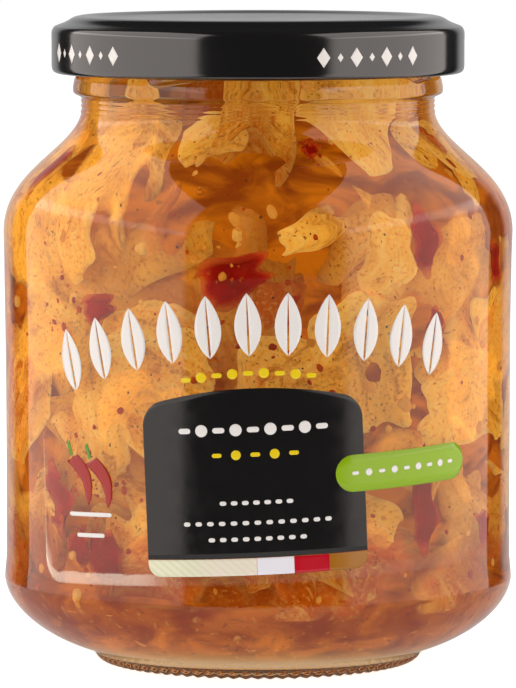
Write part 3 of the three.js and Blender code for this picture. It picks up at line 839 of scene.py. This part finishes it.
def leafMark(across, up, turn):
    # a pointed leaf, in two halves beside a midrib that is left bare
    parts = []
    x = np.linspace(0.002, 0.998, 15)
    half = label["leafWidth"] / 2 * np.sin(np.pi * x) ** 0.75 * (1.12 - 0.3 * x)
    bare = np.minimum(label["leafMidrib"] / 2 * (1 - x ** 3), half * 0.5)
    long = np.repeat(((x - 0.5) * label["leafLength"])[:, None], 5, 1)
    for start, end in [(-half, -bare), (bare, half)]:
        wide = start[:, None] + (end - start)[:, None] * np.linspace(0, 1, 5)[None, :]
        parts.append(plate(across - wide * math.cos(turn) + long * math.sin(turn),
                           up + wide * math.sin(turn) + long * math.cos(turn)))
    return parts


def chilliStroke(across, up, first, last, halfWidth):
    t = np.linspace(first, last, 21)[:, None] + np.zeros((1, 5))
    down = (0.5 - t) * label["chilliLength"]
    bow = 1.5 * np.sin(np.pi * np.maximum(0, t)) - 0.9 * np.minimum(0, t)
    wide = bow + np.linspace(-1, 1, 5)[None, :] * halfWidth(np.maximum(0, t))
    turn = math.radians(label["chilliLean"])
    return plate(across + wide * math.cos(turn) - down * math.sin(turn),
                 up + wide * math.sin(turn) + down * math.cos(turn))


def ink(start, code):
    place = start.place()
    grain = start.noise(place, 2500, 2)
    return start.surface({
        "Base Color": colour(code), "Roughness": start.noise(place, 400, 2).fade(0.3, 0.7, 0.12, 0.2),
        "Normal": start.bump(grain, 0.000005)})


def hatched(start, paper, first, second):
    # slanting lines, printed thinly in two colours
    place = start.place()
    x, z = start.outputs("ShaderNodeSeparateXYZ", "XZ", {0: place})
    line = start.math("SINE", (x * 0.8 + z) * label["hatchPitch"]).fade(-0.2, 0.6)
    inks = x.fade(-0.012, -0.006).tint(colour(first), colour(second))
    return start.surface({
        "Base Color": (line * 0.7).tint(colour(paper), inks),
        "Roughness": start.noise(place, 400, 2).fade(0.3, 0.7, 0.12, 0.2)})


def clearFilm(start):
    low, side, left = (start.attribute(name) for name in ("low", "side", "left"))
    ragged = start.noise(start.place(), 300, 3) * 1.4
    # painted reflection and highlights: on the film's left part, a pale strip along its lower edge, a
    # glint at its lower corner and a line up its side, where the left panel shows in it
    strip = (low + ragged - 0.7).fade(1.7, 2.1, 1.0, 0.0) * left.fade(0.0, 1.0, 0.01, 0.22)
    corner = side.fade(0.0, 2.4, 0.2, 0.0) * low.fade(2.0, 6.0, 1.0, 0.0) * left
    edge = side.fade(0.0, 0.5, 0.1, 0.0) * low.fade(20.0, 30.0, 1.0, 0.0) * left
    alpha = 0.004 + (strip + corner + edge) * low.fade(0.0, 0.3, 0.6, 1.0)
    return start.surface({"Base Color": colour("#F0DCC8"), "Roughness": 0.12, "Alpha": alpha})


def makeLabel():
    half = label["filmWidth"] / 2
    film = lambda x: fall(half - np.abs(x), label["filmCorner"])
    low, high = lambda x: label["filmLow"] + film(x), lambda x: label["filmHigh"] - film(x)
    layer = {"lift": label["filmLift"], "thickness": label["filmThickness"]}
    points, faces, _ = band(-half, half, low, high, 96, 60, **layer)
    share = (1 - np.cos(np.pi * np.linspace(0, 1, 97))) / 2
    across = np.repeat(-half + 2 * half * share, 61)
    up = np.tile((label["filmHigh"] - label["filmLow"]) * np.linspace(0, 1, 61), 97)
    fields = {"low": up, "side": half - np.abs(across), "left": np.clip((-14 - across) / 7, 0, 1)}
    fields = {key: np.tile(values, 2) for key, values in fields.items()}
    finish = newFinish("clearFilm", clearFilm)
    meshPiece("labelFilm", points, [faces], finish, "clear_film", ["label_film"], fields)

    white, yellow = newFinish("whiteInk", ink, "#CBC7C3"), newFinish("yellowInk", ink, "#CCB00E")
    half = label["fieldWidth"] / 2
    corner = lambda x: fall(half - np.abs(x), label["fieldCorner"])
    crown = lambda x: label["fieldCrown"] - label["fieldBow"] * x ** 2 - corner(x)
    side = lambda x: np.maximum(crown(x), label["fieldSide"])
    partsPiece("blackField", [band(-half, half, lambda x: 0 * x, side, 64, 30)],
               newFinish("blackInk", ink, "#111010"), "black_ink", ["label_black_field"])
    for name, node, slot, start, end, finish in [
            ("ribbonPale", "ribbon_pale", "pale_hatch_ink", -half, -0.2,
             (hatched, "#CAC6B0", "#B8C092", "#CEB8B0")),
            ("ribbonWhite", "ribbon_white", "white_ink", -0.2, 5.9, (ink, "#CCCAD0")),
            ("ribbonRed", "ribbon_red", "red_ink", 5.9, 11.8, (ink, "#A4041A")),
            ("ribbonOchre", "ribbon_ochre", "ochre_ink", 11.8, half, (ink, "#8E5A12"))]:
        low = lambda x: -label["ribbonHeight"] + fall(half - np.abs(x), label["ribbonCorner"])
        high = lambda x: 0 * x - label["gap"]
        field = band(start + label["gap"] / 2, end - label["gap"] / 2, low, high, 24, 6)
        partsPiece(name, [field], newFinish(name + "Ink", *finish), slot, [node])

    tagLift = label["lift"] + label["tagStep"]
    tag = pill(label["tagAlong"], label["tagUp"], label["tagLength"], label["tagHeight"], 48, lift=tagLift)
    partsPiece("greenTag", [tag], newFinish("greenInk", ink, "#7A9A08"), "green_ink", ["green_tag"])

    marks = []
    for i in range(label["leaves"]):
        place = (i - (label["leaves"] - 1) / 2) * label["leafSpacing"]
        middle = label["leafCrown"] - label["leafBow"] * place ** 2
        marks += leafMark(place, middle, math.radians(label["leafFan"] * place))
    nodes = [f"white_leaf_{i + 1}" for i in range(label["leaves"])]
    partsPiece("archLeaves", marks, white, "white_ink", nodes)

    pods = label["chillies"]
    width = label["chilliWidth"] / 2
    pod = lambda t: width * np.sqrt(np.maximum(1 - t, 0)) * (0.85 + 0.15 * t) + 0.01
    partsPiece("chilliPods", [chilliStroke(*at, 0, 1, pod) for at in pods],
               newFinish("chilliInk", ink, "#8C1610"), "chilli_ink", ["chilli_left", "chilli_right"])
    partsPiece("chilliStalks", [chilliStroke(*at, -0.34, -0.05, lambda t: 0.36) for at in pods],
               newFinish("stalkInk", ink, "#4E7A22"), "stalk_ink",
               ["chilli_left_stalk", "chilli_right_stalk"])

    # rows on the black field, two bars below the chillies, and the row on the tag
    upper = {"lift": label["lift"] + label["ink"] + label["markGap"], "thickness": label["markThickness"]}
    rows = [mark for row in label["fieldRows"] for mark in markRow(*row, **upper)]
    rows += [pill(*bar, 0.7, 16) for bar in label["bars"]]
    tagUpper = {**upper, "lift": tagLift + label["ink"] + label["markGap"]}
    partsPiece("whiteMarks", rows + markRow(*label["tagRow"], **tagUpper), white, "white_ink")
    rows = markRow(*label["yellowRow"], **upper)
    partsPiece("yellowMarks", rows + markRow(*label["crownRow"]), yellow, "white_ink")


# the studio
studio = {
    "camera": (0, -0.97, 0.1395), "pitch": 5.056, "lens": 300.1,
    "panelAway": 0.5, "panelBack": 0.56, "panelLow": -0.4, "panelHigh": 1.3,
    "panelWarmth": (1, 0.91, 0.86, 1),
    # side, front end, where it is at its full glow, and that glow
    "panels": [(-1, -0.84, -0.72, 1.45), (1, -0.68, -0.54, 1.42)],
    # how far back a panel reaches at its foot, and how much further its back edge leans up to slantTo
    "back": 0.355, "backSlant": 0.17, "slantFrom": 0.12, "slantTo": 0.6, "edgeBlur": 0.012,
    "lampHeight": 0.3, "lampSpread": 0.03, "lampGlow": 0.9,
    # how bright the front, the wall and the table are to reflections and to other light
    "frontGloss": 0.03, "frontFill": 0.5, "wallGloss": 0.55, "tableGloss": 0.14, "tableGlow": 0.8,
    "floorSize": 3.0, "tableRadius": 0.17,
}


def pathTo(start):
    # 1 where the camera sees a place direct or through glass, and 1 where it is a reflection
    glossy, depth = start.outputs("ShaderNodeLightPath", ["Is Glossy Ray", "Diffuse Depth"])
    return (1 - glossy) * (depth < 0.5), glossy


def whiteStudio(start):
    # white to the eye; as light, a white wall behind the object and dim surroundings
    seen, glossy = pathTo(start)
    back, up = start.outputs("ShaderNodeSeparateXYZ", "YZ", {0: start.node("ShaderNodeTexCoord")})
    dim = glossy * studio["frontGloss"] + (1 - glossy) * studio["frontFill"]
    wall = back.fade(0.8, 0.9) * up.fade(0.3, 0.6, 1.0, 0.0)
    lit = glossy * studio["wallGloss"] + (1 - glossy)
    strength = seen + (1 - seen) * (wall * lit + (1 - wall) * dim)
    light = start.node("ShaderNodeBackground", {}, {"Color": (1, 1, 1, 1), "Strength": strength})
    start.node("ShaderNodeOutputWorld", {}, {"Surface": light})


def panelLight(start, front, full):
    # fades out towards the front, reaches further back higher up, and is brightest along its lamp
    along, height = start.outputs("ShaderNodeSeparateXYZ", "YZ", {0: start.place()})
    off = (height - studio["lampHeight"]) / studio["lampSpread"]
    lamp = (off * off).fade(0.0, 4.0, studio["lampGlow"], 0.0)
    furthest = studio["back"] + studio["backSlant"]
    back = height.fade(studio["slantFrom"], studio["slantTo"], studio["back"], furthest)
    inside = (back - along).fade(-studio["edgeBlur"], studio["edgeBlur"])
    glow = along.fade(front, full) * inside * (1 + lamp)
    light = start.node("ShaderNodeEmission", {}, {"Color": studio["panelWarmth"], "Strength": glow})
    start.node("ShaderNodeOutputLight", {}, {"Surface": light})


def paleFloor(start):
    # a white table round the object; far from it, reflections pass below it to the panels
    seen, glossy = pathTo(start)
    strength = studio["tableGlow"] + glossy * (studio["tableGloss"] - studio["tableGlow"])
    glow = start.node("ShaderNodeEmission", {}, {"Color": (1, 1, 1, 1), "Strength": strength})
    matt = start.node("ShaderNodeBsdfDiffuse", {}, {"Color": (0.6, 0.6, 0.6, 1)})
    table = start.node("ShaderNodeAddShader", {}, {0: glow, 1: matt})
    gone = start.node("ShaderNodeBsdfTransparent", {}, {"Color": (1, 1, 1, 1)})
    away = start.node("ShaderNodeVectorMath", {"operation": "LENGTH"}, {0: start.place()}, 1)
    far = away.fade(studio["tableRadius"] * 0.6, studio["tableRadius"])
    return start.node("ShaderNodeMixShader", {}, {0: glossy * far, 1: table, 2: gone})


def makeStudio():
    scene = bpy.context.scene
    camera = newObject("camera", bpy.data.cameras.new("camera"))
    camera.data.lens = studio["lens"]
    camera.data.sensor_width = 36
    camera.location = studio["camera"]
    camera.rotation_euler = (math.radians(90 - studio["pitch"]), 0, 0)
    scene.camera = camera

    world = bpy.data.worlds.new("studio")
    whiteStudio(emptyTree(world))
    scene.world = world

    tall = studio["panelHigh"] - studio["panelLow"]
    for side, front, full, glow in studio["panels"]:
        deep = studio["panelBack"] - front
        lamp = bpy.data.lights.new("sidePanel", "AREA")
        lamp.shape = "RECTANGLE"
        lamp.size = deep
        lamp.size_y = tall
        lamp.energy = glow * math.pi * deep * tall
        panelLight(emptyTree(lamp), front, full)
        holder = newObject("sidePanel", lamp)
        holder.location = (side * studio["panelAway"], (studio["panelBack"] + front) / 2,
                           (studio["panelHigh"] + studio["panelLow"]) / 2)
        holder.rotation_euler = (math.radians(90), 0, math.radians(90 * side))
        holder.visible_camera = False

    size = studio["floorSize"]
    mesh = bpy.data.meshes.new("floor")
    corners = [(-size, -size, 0), (size, -size, 0), (size, size, 0), (-size, size, 0)]
    mesh.from_pydata(corners, [], [(0, 1, 2, 3)])
    floor = newObject("floor", mesh)
    floor.location.z = -0.0001
    mesh.materials.append(newFinish("paleFloor", paleFloor))
    scene.view_settings.view_transform = "Standard"
    print("studio: camera, panels and floor")


makeStudio()
bottomAndWall = makeGlass()
wallLine = bottomAndWall[bottomAndWall[:, 1] > 8]
print("glass: made")
makeBrine()
makeHeap()
makeLid()
makeLidMarks()
makeLabel()
print("label: made")
